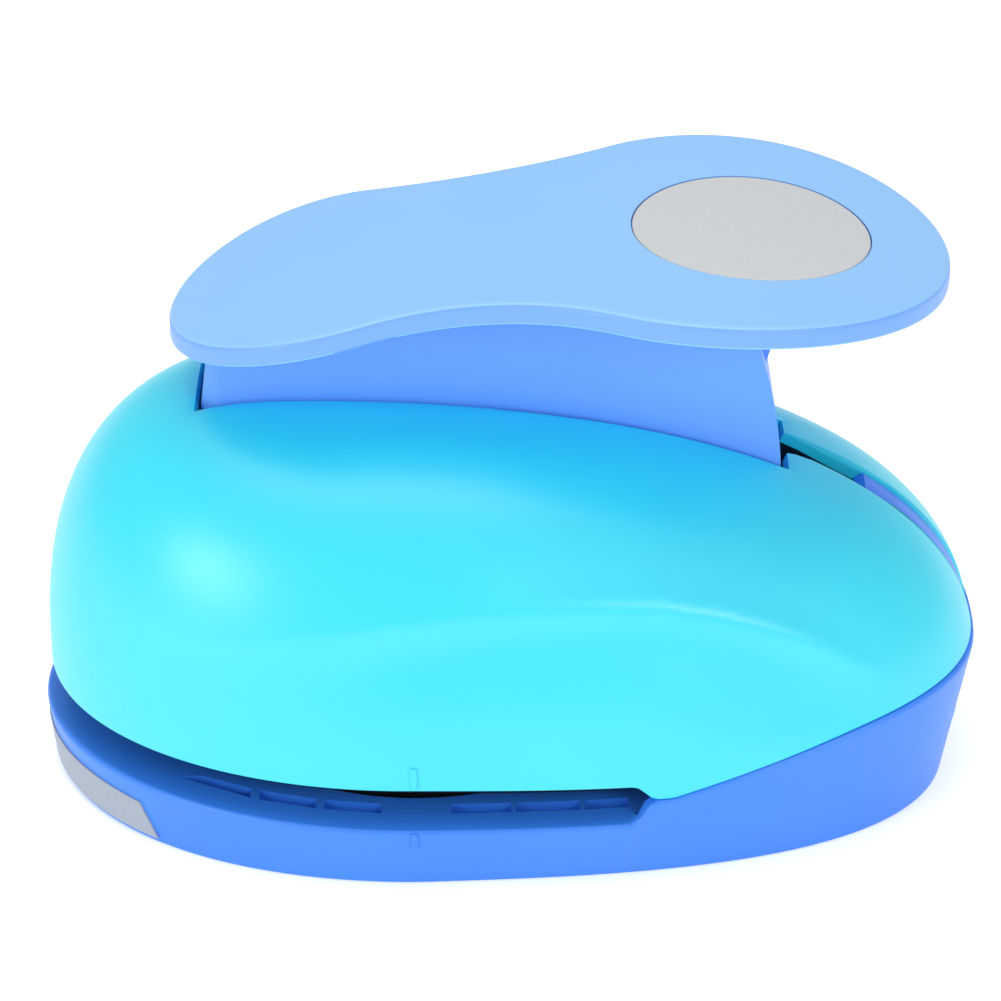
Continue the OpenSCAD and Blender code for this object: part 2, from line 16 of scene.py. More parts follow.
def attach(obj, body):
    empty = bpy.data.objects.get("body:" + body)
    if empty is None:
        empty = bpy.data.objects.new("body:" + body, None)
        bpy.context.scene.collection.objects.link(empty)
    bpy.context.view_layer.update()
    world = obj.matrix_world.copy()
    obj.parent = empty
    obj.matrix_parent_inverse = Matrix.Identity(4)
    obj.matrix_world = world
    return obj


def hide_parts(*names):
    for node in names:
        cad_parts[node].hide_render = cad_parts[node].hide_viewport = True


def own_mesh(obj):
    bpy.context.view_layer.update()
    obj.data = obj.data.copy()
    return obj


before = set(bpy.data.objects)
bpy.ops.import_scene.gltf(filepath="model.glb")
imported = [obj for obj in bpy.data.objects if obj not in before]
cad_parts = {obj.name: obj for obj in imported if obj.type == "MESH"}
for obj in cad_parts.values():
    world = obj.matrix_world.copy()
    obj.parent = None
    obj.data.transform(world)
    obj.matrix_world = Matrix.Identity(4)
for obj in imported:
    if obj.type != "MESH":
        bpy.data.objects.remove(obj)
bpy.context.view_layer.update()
MM = 0.001

# %% [markdown]
# ## Colours and nodes
# Hex colours are how a designer writes them, but a renderer works in linear light, so one function
# turns them over. A second small function adds any shader node with its settings and its links,
# which keeps each material readable as a short list.


# %% Colour and node helpers
def linear(hex_colour):
    parts = [int(hex_colour[i:i + 2], 16) / 255 for i in (1, 3, 5)]
    return [c / 12.92 if c <= 0.04045 else ((c + 0.055) / 1.055) ** 2.4 for c in parts] + [1.0]


def add(tree, kind, links=None, **settings):
    node = tree.nodes.new(kind)
    for key, value in settings.items():
        if hasattr(node, key):
            setattr(node, key, value)
        else:
            node.inputs[key.replace("_", " ")].default_value = value
    for socket, source in (links or {}).items():
        tree.links.new(source, node.inputs[socket])
    return node


def new_material(name):
    material = bpy.data.materials.new(name)
    material.use_nodes = True
    tree = material.node_tree
    tree.nodes.clear()
    output = tree.nodes.new("ShaderNodeOutputMaterial")
    shader = tree.nodes.new("ShaderNodeBsdfPrincipled")
    tree.links.new(shader.outputs["BSDF"], output.inputs["Surface"])
    return material, tree, shader


# %% [markdown]
# ## Moulded ABS
# The shells are injection-moulded ABS. The mould is spark-eroded to a fine satin grain, so the
# surface takes a broad, soft highlight. Two things keep it from looking like flat paint: a very
# slight drift of colour where the plastic flowed, and grain that breaks up the gloss.
# The real grain is about 0.3 mm across; it is drawn at 0.45 mm so that it shows. The cover is the
# glossiest moulding, so it has the most polish. Nylon is the undyed plastic of the guide bushes.

# %% Moulded plastics
GRAIN_MM = 0.45
FLOW_MM = 38.0
ABS_IOR = 1.53
GLOSS_SPREAD = 0.05


def moulded_abs(name, pale, deep, roughness, polish=0.5, grain_depth=0.05):
    material, tree, shader = new_material(name)
    place = add(tree, "ShaderNodeTexCoord").outputs["Object"]
    flow = add(tree, "ShaderNodeTexNoise", {"Vector": place}, Scale=1 / (FLOW_MM * MM), Detail=2.0)
    grain = add(tree, "ShaderNodeTexNoise", {"Vector": place}, Scale=1 / (GRAIN_MM * MM), Detail=1.0)
    ramp = add(tree, "ShaderNodeValToRGB", {"Fac": flow.outputs["Fac"]})
    ramp.color_ramp.elements[0].position, ramp.color_ramp.elements[1].position = 0.3, 0.7
    ramp.color_ramp.elements[0].color = linear(deep)
    ramp.color_ramp.elements[1].color = linear(pale)
    gloss = add(tree, "ShaderNodeMapRange", {"Value": grain.outputs["Fac"]},
                To_Min=roughness - GLOSS_SPREAD, To_Max=roughness + GLOSS_SPREAD)
    relief = add(tree, "ShaderNodeBump", {"Height": grain.outputs["Fac"]},
                 Strength=grain_depth, Distance=0.05 * MM)
    tree.links.new(ramp.outputs["Color"], shader.inputs["Base Color"])
    tree.links.new(gloss.outputs["Result"], shader.inputs["Roughness"])
    tree.links.new(relief.outputs["Normal"], shader.inputs["Normal"])
    shader.inputs["IOR"].default_value = ABS_IOR
    shader.inputs["Specular IOR Level"].default_value = polish
    return material


SKY_ABS = moulded_abs("satin sky blue ABS", "#8FC4F8", "#8BC1F6", 0.42)
# A darker copy of the sky blue: painted shade for the side of the handle plate.
PAINTED_SHADE_SIDE_ABS = moulded_abs("satin sky blue ABS with painted side shade", "#72A6F1", "#6EA3EF", 0.42)
# The arm's blue is darker than the plate's as painted shade, for the shade under the plate.
SHADED_ARM_ABS = moulded_abs("satin blue ABS with painted arm shade", "#61A0F8", "#5D9BF5", 0.42)
BASE_ABS = moulded_abs("satin blue ABS", "#3884F0", "#3480ED", 0.40)
COVER_ABS = moulded_abs("satin turquoise ABS", "#2AD9EF", "#26D5ED", 0.38, polish=0.8)
NYLON = moulded_abs("natural nylon", "#E4E1D6", "#DEDACE", 0.5)
print("plastics:", [m.name for m in (SKY_ABS, PAINTED_SHADE_SIDE_ABS, SHADED_ARM_ABS, BASE_ABS, COVER_ABS, NYLON)])

# %% [markdown]
# ## Printed foil
# The grey label on the nose and the grey disc on the handle are a thin matt foil. It has no grain
# of its own, only a faint mottling from the print, and it is rougher than the ABS round it.

# %% Grey foil
MOTTLE_MM = 1.2
PRINT_IOR = 1.49


def printed_foil(name, pale, deep):
    material, tree, shader = new_material(name)
    place = add(tree, "ShaderNodeTexCoord").outputs["Object"]
    mottle = add(tree, "ShaderNodeTexNoise", {"Vector": place}, Scale=1 / (MOTTLE_MM * MM), Detail=3.0)
    ramp = add(tree, "ShaderNodeValToRGB", {"Fac": mottle.outputs["Fac"]})
    ramp.color_ramp.elements[0].color = linear(deep)
    ramp.color_ramp.elements[1].color = linear(pale)
    tree.links.new(ramp.outputs["Color"], shader.inputs["Base Color"])
    relief = add(tree, "ShaderNodeBump", {"Height": mottle.outputs["Fac"]},
                 Strength=0.04, Distance=0.03 * MM)
    tree.links.new(relief.outputs["Normal"], shader.inputs["Normal"])
    shader.inputs["Roughness"].default_value = 0.55
    shader.inputs["IOR"].default_value = PRINT_IOR
    return material


DISC_FOIL = printed_foil("matt grey foil", "#C9CDCF", "#BFC3C5")
LABEL_FOIL = printed_foil("matt grey vinyl", "#A5AEBA", "#9AA3B0")
print("foils:", DISC_FOIL.name, "and", LABEL_FOIL.name)

# %% [markdown]
# ## Steel and zinc
# The working parts are metal. Ground steel has fine parallel marks from the wheel, so its bump is a
# noise stretched along one axis. Zinc plate is duller and a little cloudy, and a die casting is
# rougher still. A metal keeps the default IOR, because its colour does that work.


# %% Metals
def metal(name, pale, deep, roughness, grain_mm, stretch):
    material, tree, shader = new_material(name)
    place = add(tree, "ShaderNodeTexCoord").outputs["Object"]
    drawn = add(tree, "ShaderNodeMapping", {"Vector": place})
    drawn.inputs["Scale"].default_value = (1.0, stretch, 1.0)
    grain = add(tree, "ShaderNodeTexNoise", {"Vector": drawn.outputs["Vector"]},
                Scale=1 / (grain_mm * MM), Detail=3.0)
    ramp = add(tree, "ShaderNodeValToRGB", {"Fac": grain.outputs["Fac"]})
    ramp.color_ramp.elements[0].color = linear(deep)
    ramp.color_ramp.elements[1].color = linear(pale)
    gloss = add(tree, "ShaderNodeMapRange", {"Value": grain.outputs["Fac"]},
                To_Min=roughness - 0.08, To_Max=roughness + 0.08)
    relief = add(tree, "ShaderNodeBump", {"Height": grain.outputs["Fac"]},
                 Strength=0.15, Distance=0.03 * MM)
    tree.links.new(ramp.outputs["Color"], shader.inputs["Base Color"])
    tree.links.new(gloss.outputs["Result"], shader.inputs["Roughness"])
    tree.links.new(relief.outputs["Normal"], shader.inputs["Normal"])
    shader.inputs["Metallic"].default_value = 1.0
    return material


GROUND_STEEL = metal("ground steel", "#B4B7BB", "#9A9DA2", 0.32, 1.4, 9.0)
ZINC_PLATE = metal("zinc plate", "#C6CACE", "#AEB3B8", 0.38, 2.2, 1.0)
DIE_CAST = metal("die-cast zinc", "#9FA2A6", "#8B8E92", 0.5, 0.9, 1.0)
# Blackened steel for the plates in the throat, kept this dark as painted shade under the cover's edge.
BLACK_STEEL_AND_SHADE = metal("blackened steel, dark as painted shade", "#3A3D42", "#2C2E33", 0.46, 1.0, 3.0)
print("metals:", [m.name for m in (GROUND_STEEL, ZINC_PLATE, DIE_CAST, BLACK_STEEL_AND_SHADE)])

# %% [markdown]
# ## A skin from a grid of points
# Every moulded shell here is a grid: one direction goes round the punch and the other follows the
# wall. A grid of quads shades smoothly and can carry exact rounded edges. One builder turns such a
# grid, worked out in millimetres, into a mesh. Edges sharper than an angle stay crisp.

# %% Mesh builders
CREASE_ANGLE = math.radians(34)


def smooth(mesh):
    for face in mesh.polygons:
        face.use_smooth = True


def finish_mesh(name, mesh, material):
    smooth(mesh)
    mesh.set_sharp_from_angle(angle=CREASE_ANGLE)
    mesh.materials.clear()
    mesh.materials.append(material)
    piece = bpy.data.objects.new(name, mesh)
    bpy.context.scene.collection.objects.link(piece)
    return piece


def grid_faces(columns, rows, wrap_columns, wrap_rows):
    faces = []
    for c in range(columns if wrap_columns else columns - 1):
        for r in range(rows if wrap_rows else rows - 1):
            d, u = (c + 1) % columns, (r + 1) % rows
            faces.append([c * rows + r, d * rows + r, d * rows + u, c * rows + u])
    return faces


def ruled_cap(columns, rows, row, flip):
    strip = []
    for c in range(columns // 2 - 1):
        quad = [c, c + 1, columns - 2 - c, columns - 1 - c]
        strip.append([k * rows + row for k in (reversed(quad) if flip else quad)])
    return strip


def mesh_from(name, parts):
    points, faces = [], []
    for part_points, part_faces in parts:
        faces += [[i + len(points) for i in face] for face in part_faces]
        points += [tuple(p) for p in np.asarray(part_points) * MM]
    mesh = bpy.data.meshes.new(name)
    mesh.from_pydata(points, [], faces)
    mesh.validate()
    tidy = bmesh.new()
    tidy.from_mesh(mesh)
    bmesh.ops.recalc_face_normals(tidy, faces=tidy.faces)
    tidy.to_mesh(mesh)
    tidy.free()
    return mesh


def ring_solid(rings):
    """A closed solid through rings of equal length, each ruled shut from side to side."""
    grid = np.stack(rings, axis=1)
    columns, rows = grid.shape[:2]
    faces = grid_faces(columns, rows, True, False)
    faces += ruled_cap(columns, rows, 0, True) + ruled_cap(columns, rows, rows - 1, False)
    return grid.reshape(-1, 3), faces


def swept_solid(loops):
    """A closed solid swept through loops of equal length, with a flat face at each end."""
    count, size = loops.shape[:2]
    faces = grid_faces(count, size, False, True)
    faces += [list(range(size)), list(range((count - 1) * size, count * size))[::-1]]
    return loops.reshape(-1, 3), faces


def around(count):
    return 2 * np.pi * (np.arange(count) + 0.5) / count


def circle_ring(x, y, radius, z, steps=96):
    a = around(steps)
    return np.column_stack([x + radius * np.cos(a), y + radius * np.sin(a), np.full(steps, z)])


# %% [markdown]
# ## The punch's outlines
# The base and the cover are both egg-shaped in plan: a superellipse with a different length and
# roundness in front and behind. Using the same formulas as the CAD keeps the fine meshes on the
# CAD's surfaces, so nothing grows when they replace it. A pair of values, such as a power, changes
# evenly from the bottom of its wall to the top.

# %% Outline formulas
LIP_Z, DECK_Z, RIM_Z, WALL = 19.0, 12.0, 11.7, 2.2
BASE_X, BASE_FRONT, BASE_REAR, BASE_HALF, FLARE = -15.5, 65.2, 94.0, 47.3, 1.6
FRONT_LEAN, REAR_LEAN = 1.5, 4.0
BASE_FRONT_POWER, BASE_REAR_POWER, BASE_PINCH = (2.08, 2.0), (2.5, 2.56), (0.1, 0.05)
COVER_X, COVER_FRONT, COVER_REAR, COVER_HALF, STRAIGHT = -10.0, 70.9, 92.6, 47.4, 7.0
COVER_FRONT_POWER, COVER_REAR_POWER = (2.01, 2.15), (2.59, 2.27)
APEX_X, ROOF_Z = -36.3, 73.3
FRONT_ROUND, REAR_ROUND, SIDE_ROUND = 2.6, 2.215, 2.37
THROAT_END, SEAM_X, SEAM_GAP = 21.3, 25.3, 0.15
SEAM_LOW, SEAM_RISE, SEAM_FROM, SEAM_RUN = 16.3, 10.3, 28.0, 55.0
LEDGE, DIE_X = 5.0, -15.5


def ease(u):
    k = np.clip(u, 0, 1)
    return k * k * (3 - 2 * k)


def mix(pair, share):
    return pair[0] + (pair[1] - pair[0]) * share


def egg(t, xc, front, rear, half, nf, nr, pinch=0.0, straight=0.0):
    c, s = np.cos(t), np.sin(t)
    n = np.where(c < 0, nf, nr)
    u = np.abs(c) ** (2 / n)
    narrow = np.where(c < 0, 1.0, 1 - pinch * u * (1 - u))
    x = xc + np.where(c < 0, -straight - (front - straight) * u, rear * u)
    return x, half * narrow * np.sign(s) * np.abs(s) ** (2 / n)


def seam(x):
    return SEAM_LOW + SEAM_RISE * np.sin(np.pi / 2 * np.clip((x - SEAM_FROM) / SEAM_RUN, 0, 1))


def behind(x):
    return ease((x - THROAT_END) / (SEAM_X - THROAT_END))


def lip(x):
    return LIP_Z + (seam(x) - LIP_Z) * behind(x)


def rim(x):
    rise = (DECK_Z - RIM_Z) * (np.maximum(0, BASE_X - x) / (BASE_FRONT + FRONT_LEAN)) ** 2
    return RIM_Z + rise + (seam(x) - SEAM_GAP - RIM_Z) * behind(x)


def base_outline(t, lean, inset):
    front, rear = BASE_FRONT + FRONT_LEAN * lean - inset, BASE_REAR + REAR_LEAN * lean - inset
    return egg(t, BASE_X, front, rear, BASE_HALF + FLARE * lean - inset,
               mix(BASE_FRONT_POWER, lean), mix(BASE_REAR_POWER, lean), mix(BASE_PINCH, lean))


print("half widths at the die: base", BASE_HALF + FLARE, "cover", COVER_HALF)

# %% [markdown]
# ## The base
# The base is a shallow tub. Its wall leans outward, turns over a rounded rim, and slopes up to the
# flat deck that the paper lies on. Behind the throat the wall climbs to meet the cover. The rings
# below walk that section from the table upwards, with extra rings at each edge for its radius. Each
# row gives the share of the lean, the distance inwards and the distance above its own height.

# %% Base skin
BASE_COLUMNS = 384
turn_base = around(BASE_COLUMNS)
rim_x = base_outline(turn_base, 1, 0)[0]
rim_height = rim(rim_x)
at_rear = behind(rim_x)


def base_ring(lean, inset, lift):
    x, y = base_outline(turn_base, lean, inset)
    return np.stack([x, y, lean * rim_height + lift], axis=1)


def inner_ring(inset, z):
    x, y = base_outline(turn_base, 1, inset)
    return np.stack([x, y, np.broadcast_to(z, x.shape)], axis=1)


WALL_SECTION = ((0, 1.0, 0), (0, 0.35, 0.1), (0, 0.02, 0.45), (0.5, 0, 0),
                (1, 0, -0.9), (1, 0.06, -0.5), (1, 0.22, -0.2), (1, 0.5, -0.04))
LAND, REAR_LAND = 0.4, 1.4
top_width = LAND + REAR_LAND * at_rear
ledge = LEDGE + (WALL + LAND - LEDGE) * ease((rim_x - THROAT_END + 2) / 8)
rings = [base_ring(*place) for place in WALL_SECTION]
rings += [inner_ring(top_width + 0.4, rim_height + 0.01),
          inner_ring(top_width + 0.8, rim_height + (DECK_Z - rim_height) * 0.12),
          inner_ring(ledge - 0.5, DECK_Z - 0.04), inner_ring(ledge + 0.4, DECK_Z)]
print("base skin:", len(rings), "rings of", BASE_COLUMNS)

# %% [markdown]
# ## Cutting and joining
# The underside is hollow, and the deck has a round well for the die and six shallow pockets a side.
# A Boolean modifier cuts those from the skin, as a cutter would, and is applied at once so that the
# finished mesh holds plain geometry.


# %% Cutting tools
def post(x, y, radius, z0, z1, steps=96):
    return ring_solid([circle_ring(x, y, radius, z, steps) for z in (z0, z1)])


def prism(corners, z0, z1):
    rings = [np.array([[x, y, z] for x, y in corners], float) for z in (z0, z1)]
    grid = np.stack(rings, axis=1).reshape(-1, 3)
    return grid, [[0, 2, 4, 6], [1, 7, 5, 3], [0, 1, 3, 2], [2, 3, 5, 4], [4, 5, 7, 6], [6, 7, 1, 0]]


def block(x0, x1, y0, y1, z0, z1):
    return prism([[x1, y0], [x1, y1], [x0, y1], [x0, y0]], z0, z1)


def apply_modifiers(piece):
    graph = bpy.context.evaluated_depsgraph_get()
    mesh = bpy.data.meshes.new_from_object(piece.evaluated_get(graph))
    old = piece.data
    piece.modifiers.clear()
    piece.data = mesh
    bpy.data.meshes.remove(old)


def even_shading(piece):
    shade = piece.modifiers.new("shade", "WEIGHTED_NORMAL")
    shade.keep_sharp = True
    apply_modifiers(piece)


def boolean(piece, parts, operation):
    for part in parts:
        tool = bpy.data.objects.new("tool", mesh_from("tool", [part]))
        bpy.context.scene.collection.objects.link(tool)
        cut = piece.modifiers.new("cut", "BOOLEAN")
        cut.operation, cut.solver, cut.object = operation, "EXACT", tool
        apply_modifiers(piece)
        bpy.data.objects.remove(tool, do_unlink=True)


# %% [markdown]
# ## Ribs and bosses under the deck
# A moulding is thin everywhere, so ribs stiffen it and bosses take the screws. They are plain blocks
# and posts that a union melts into the hollowed skin. The big ring is the chute that the cut paper
# falls through.

# %% Base structure
base = finish_mesh("base_moulding", mesh_from("base_moulding", [ring_solid(rings)]), BASE_ABS)
HOLLOW_SECTION = ((-1, 0, WALL), (5.5, 0.5, WALL + 0.2), (8.8, 0.9, LEDGE + 0.4))
hollow = ring_solid([np.column_stack([*base_outline(turn_base, lean, inset), np.full(BASE_COLUMNS, z)])
                     for z, lean, inset in HOLLOW_SECTION])
boolean(base, [hollow], "DIFFERENCE")
STACK_X, STACK_YS = 38.0, (-28, -10, 10, 28)
BOSS_X, BOSS_Y, POST_WALL_R = 58.0, 22.0, 4.6
DIE_BOTTOM, DIE_REAR_X, DIE_HALF, PLATE_X, PLATE_LEDGE = 9.0, 18.0, 33.0, 46.0, 1.8
CHUTE_R, CHUTE_WALL = 37.9, 4.5
RIB, RIB_LOW, RIB_TOP = 1.6, 1.0, 11.0
CROSS_RIB_HALF, SIDE_RIB_Y, SIDE_RIB_X, NOSE_RIB_X = 37.8, 15.0, (26.5, 72.0), (-79.2, -55.0)
floor_half = DIE_HALF + PLATE_LEDGE
solids = [post(DIE_X, 0, CHUTE_R + CHUTE_WALL, 0, DIE_BOTTOM + 1),
          block(DIE_REAR_X + 2, PLATE_X + 1, -floor_half, floor_half, DIE_BOTTOM - 2.5, DIE_BOTTOM + 1),
          block(PLATE_X, PLATE_X + RIB, -CROSS_RIB_HALF, CROSS_RIB_HALF, RIB_LOW, RIB_TOP),
          block(*SIDE_RIB_X, SIDE_RIB_Y, SIDE_RIB_Y + RIB, RIB_LOW, RIB_TOP),
          block(*SIDE_RIB_X, -SIDE_RIB_Y - RIB, -SIDE_RIB_Y, RIB_LOW, RIB_TOP),
          block(*NOSE_RIB_X, -RIB / 2, RIB / 2, RIB_LOW, RIB_TOP)]
solids += [post(STACK_X, y, POST_WALL_R, 0, DIE_BOTTOM + 0.5) for y in STACK_YS]
solids += [post(BOSS_X, y, POST_WALL_R, 0, LIP_Z + 0.4) for y in (-BOSS_Y, BOSS_Y)]
boolean(base, solids, "UNION")
print("base with its ribs and bosses:", len(base.data.polygons), "faces")

# %% [markdown]
# ## Wells and pockets
# The die drops into a well with a round front and a square rear, each screw has a bore with a wider
# well for its head, and six shallow pockets a side save plastic along the deck's edge.

# %% Base wells and pockets
DIE_R, WELL_GAP = 38.9, 0.3
SCREW_R, STACK_HEAD_R, BOSS_HEAD_R, HEAD_WELL_Z, HOLE_STEPS = 1.85, 3.3, 3.5, 5.4, 32
well_half = DIE_HALF + WELL_GAP
holes = [post(DIE_X, 0, DIE_R + WELL_GAP, DIE_BOTTOM, 20),
         block(DIE_REAR_X, PLATE_X - 0.7, -well_half, well_half, DIE_BOTTOM, 30),
         post(DIE_X, 0, CHUTE_R, -1, 15)]
for y in STACK_YS:
    holes += [post(STACK_X, y, SCREW_R, -1, 20, HOLE_STEPS),
              post(STACK_X, y, STACK_HEAD_R, -1, HEAD_WELL_Z, HOLE_STEPS)]
for y in (-BOSS_Y, BOSS_Y):
    holes += [post(BOSS_X, y, SCREW_R, -1, 40, HOLE_STEPS),
              post(BOSS_X, y, BOSS_HEAD_R, -1, HEAD_WELL_Z, HOLE_STEPS)]
POCKETS = ((-52.4, -43.6, 4.2), (-42.1, -32.3, 0), (-31.0, -21.2, 0),
           (-9.4, 0.8, 0), (1.6, 12.4, 0), (13.2, 20.6, 0))
POCKET_DEEP, POCKET_WIDE, POCKET_EDGE = 2.4, 2.8, 0.1


def deck_edge(x):
    front = x < BASE_X
    power = BASE_FRONT_POWER[1] if front else BASE_REAR_POWER[1]
    reach = BASE_FRONT + FRONT_LEAN if front else BASE_REAR + REAR_LEAN
    share = abs(x - BASE_X) / (reach - LEDGE)
    narrow = 1 if front else 1 - BASE_PINCH[1] * share * (1 - share)
    return (BASE_HALF + FLARE - LEDGE) * narrow * (1 - share ** power) ** (1 / power)


def pocket(front, rear, slant, side):
    tip = front - slant
    corners = [(front, deck_edge(front) - POCKET_WIDE), (rear, deck_edge(rear) - POCKET_WIDE),
               (rear, deck_edge(rear) - POCKET_EDGE), (tip, deck_edge(tip) - POCKET_EDGE)]
    return prism([(x, side * y) for x, y in corners][::side], DECK_Z - POCKET_DEEP, DECK_Z + 3)


holes += [pocket(*place, side) for side in (-1, 1) for place in POCKETS]
boolean(base, holes, "DIFFERENCE")
base.data.set_sharp_from_angle(angle=CREASE_ANGLE)
print("finished base:", len(base.data.polygons), "faces")

# %% [markdown]
# ## Alignment bars
# Small raised bars mark the middle of the die on both sides, so a user can line up the paper.
# They are separate blocks with a rounded bevel, joined to the wall they stand on.


# %% Alignment bars
def rounded_block(name, size, place, radius, material):
    x, y, z = (s / 2 for s in size)
    mesh = mesh_from(name, [block(-x, x, -y, y, -z, z)])
    piece = finish_mesh(name, mesh, material)
    edge = piece.modifiers.new("edge", "BEVEL")
    edge.width, edge.segments = radius * MM, 3
    apply_modifiers(piece)
    piece.data.transform(Matrix.Translation([v * MM for v in place]))
    smooth(piece.data)
    return piece


def joined(name, pieces):
    bpy.ops.object.select_all(action="DESELECT")
    for piece in pieces:
        piece.select_set(True)
    bpy.context.view_layer.objects.active = pieces[0]
    bpy.ops.object.join()
    pieces[0].name = name
    return pieces[0]


BAR_R = 0.3
BASE_BAR, BASE_BAR_Y, BASE_BAR_Z = (1.3, 1.2, 2.8), BASE_HALF + FLARE - BAR_R, 10.0
bars = [rounded_block("bar", BASE_BAR, (DIE_X, side * BASE_BAR_Y, BASE_BAR_Z), BAR_R, BASE_ABS)
        for side in (-1, 1)]
base = joined("base_moulding", [base] + bars)
even_shading(base)
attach(base, "root")
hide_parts("base_shell")
print("base with its bars:", len(base.data.polygons), "faces")

# %% [markdown]
# ## The cover
# The cover is one thin dome with a long slot in its roof for the lever and a narrow slot down its
# back. Each column of the grid climbs the outside from the lower edge, stops exactly at the slot's
# edge, turns over a small radius, and comes down the inside. That gives a real wall with rounded
# lips and no cutting. A soft fold runs along each flank. The wall is hollowed slightly below it, and
# above it too towards the rear, so that the fold stands proud and takes a long curved highlight.

# %% Cover formulas
SLOT_FRONT, SLOT_REAR, SLOT_HALF, REAR_HALF = -53.0, 48.4, 9.2, 3.2
FOLD_RADIUS, FOLD_BELOW, FOLD_ABOVE = 0.7, 2.2, 1.5
FOLD_X = np.array([-74, -62, -54, -42, -30, -17, -2, 12, 25, 36, 45, 54, 61, 76], float)
FOLD_Z = np.array([50, 44, 42.7, 44.1, 46, 48.4, 50.1, 50.5, 49.7, 47, 43.7, 39.3, 34.7, 24], float)


def fall(h, n):
    return np.clip(1 - h ** n, 0, 1) ** (1 / n)


def dome(t, climb, inset=0.0):
    low = lip(egg(t, COVER_X, COVER_FRONT, COVER_REAR, COVER_HALF,
                  COVER_FRONT_POWER[0], COVER_REAR_POWER[0], 0, STRAIGHT)[0])
    start = (low - LIP_Z) / (ROOF_Z - LIP_Z)
    rise = start + (1 - start) * climb
    h = np.clip(rise, 0, 1)
    k = np.sqrt(1 - h * h)
    xc = APEX_X + (COVER_X - APEX_X) * k
    xf = APEX_X - (APEX_X - (COVER_X - COVER_FRONT) - inset) * fall(h, FRONT_ROUND)
    xr = APEX_X + (COVER_X + COVER_REAR - APEX_X - inset) * fall(h, REAR_ROUND)
    half = (COVER_HALF - inset) * fall(h, SIDE_ROUND)
    x, y = egg(t, xc, xc - xf, xr - xc, half,
               mix(COVER_FRONT_POWER, h), mix(COVER_REAR_POWER, h), 0, STRAIGHT * k)
    return np.stack([x, y, LIP_Z + rise * (ROOF_Z - inset - LIP_Z)], axis=-1)


def dome_normal(t, h):
    step = 1e-4
    along = dome(t + step, h) - dome(t - step, h)
    up = dome(t, np.minimum(h + step, 0.9999)) - dome(t, np.maximum(h - step, 0))
    n = np.cross(along, up)
    return n / np.maximum(np.linalg.norm(n, axis=-1, keepdims=True), 1e-9)


def dip(d, corner, width):
    return (1 - np.exp(-d / corner)) * np.exp(-(d / width) ** 2)


def fold(p):
    x, y, z = p[..., 0], p[..., 1], p[..., 2]
    d = z - np.interp(x, FOLD_X, FOLD_Z)
    soft = np.sqrt(d * d + FOLD_RADIUS ** 2) - FOLD_RADIUS
    ends = ease((x + 66) / 16) * ease((68 - x) / 20) * ease((z - 21) / 9)
    below = FOLD_BELOW * dip(soft, 3.0, 16.0)
    above = FOLD_ABOVE * dip(soft, 4.5, 14.0) * ease((x + 10) / 30)
    return -ends * ease((np.abs(y) - 12) / 12) * np.where(d < 0, below, above)


def in_slot(p):
    x, y = p[..., 0], np.abs(p[..., 1])
    return ((x > SLOT_FRONT) & (x < SLOT_REAR) & (y < SLOT_HALF)) | ((x > 0) & (y < REAR_HALF))


print("fold from", round(float(FOLD_X[0])), "to", round(float(FOLD_X[-1])), "mm along the cover")

# %% [markdown]
# ## Where each column stops
# The first column starts beside the rear slot and the last ends on its other side. A scan up each
# column finds the first point inside a slot, and halving the step between the last point outside and
# the first inside brings the column's top onto the slot's edge.

# %% Cover columns
COVER_COLUMNS, COVER_ROWS = 520, 46
t_grid = np.linspace(1e-4, math.pi / 2, 40000)
low_y = dome(t_grid, np.zeros_like(t_grid))[:, 1]
first = float(np.interp(REAR_HALF + 0.02, low_y, t_grid))
spread = np.linspace(0, 1, COVER_COLUMNS)
turn_cover = first + (2 * math.pi - 2 * first) * spread


def top_of_column(t):
    scan = np.linspace(0, 0.9995, 260)
    hit = in_slot(dome(t[:, None], scan[None, :]))
    index = hit.argmax(axis=1)
    high = scan[index]
    low = scan[np.maximum(index - 1, 0)]
    for _ in range(26):
        mid = (low + high) / 2
        inside = in_slot(dome(t, mid))
        high, low = np.where(inside, mid, high), np.where(inside, low, mid)
    return low


top_h = top_of_column(turn_cover)
print("columns:", COVER_COLUMNS, "first at", round(math.degrees(first), 2), "degrees")

# %% [markdown]
# ## The cover's wall
# The outside rows, the rolled slot edge and the inside rows are strung into one loop per column. The
# wall is 2.2 mm thick, measured along the dome's own normal, which keeps it even over the curve.

# %% Cover skin
EDGE_R, LIP_R = 0.35, 0.5
climb = np.linspace(0, 1, COVER_ROWS)
h_grid = np.sin(np.arcsin(np.clip(top_h[:, None], 0, 1)) * climb[None, :])
t_full = np.repeat(turn_cover[:, None], COVER_ROWS, axis=1)
outside = dome(t_full, h_grid)
normal = dome_normal(t_full, h_grid)
outside = outside + normal * fold(outside)[..., None]
rolled = outside.copy()
reach_top = np.linalg.norm(outside - outside[:, -1:], axis=-1)
near = np.clip(1 - reach_top / EDGE_R, 0, 1)
rolled -= normal * (EDGE_R * (1 - np.sqrt(np.clip(1 - near ** 2, 0, 1))))[..., None]
inside_rows = [outside[:, -1] - normal[:, -1] * depth for depth in (EDGE_R * 1.6, WALL)]
down = np.linspace(1, 0, 20)[1:]
t_in = np.repeat(turn_cover[:, None], len(down), axis=1)
h_in = np.sin(np.arcsin(np.clip(top_h[:, None], 0, 1)) * down[None, :])
inner = dome(t_in, h_in) - dome_normal(t_in, h_in) * WALL
inner[:, -1, 2] = rolled[:, 0, 2]
lower_edge = rolled[:, 0].copy()
lip_in = lower_edge - normal[:, 0] * LIP_R
first_row = rolled[:, :1].copy()
first_row[:, 0] = lower_edge - normal[:, 0] * 0.12
first_row[:, 0, 2] = lower_edge[:, 2]
above_edge = rolled[:, :1].copy()
above_edge[:, 0, 2] += 0.25
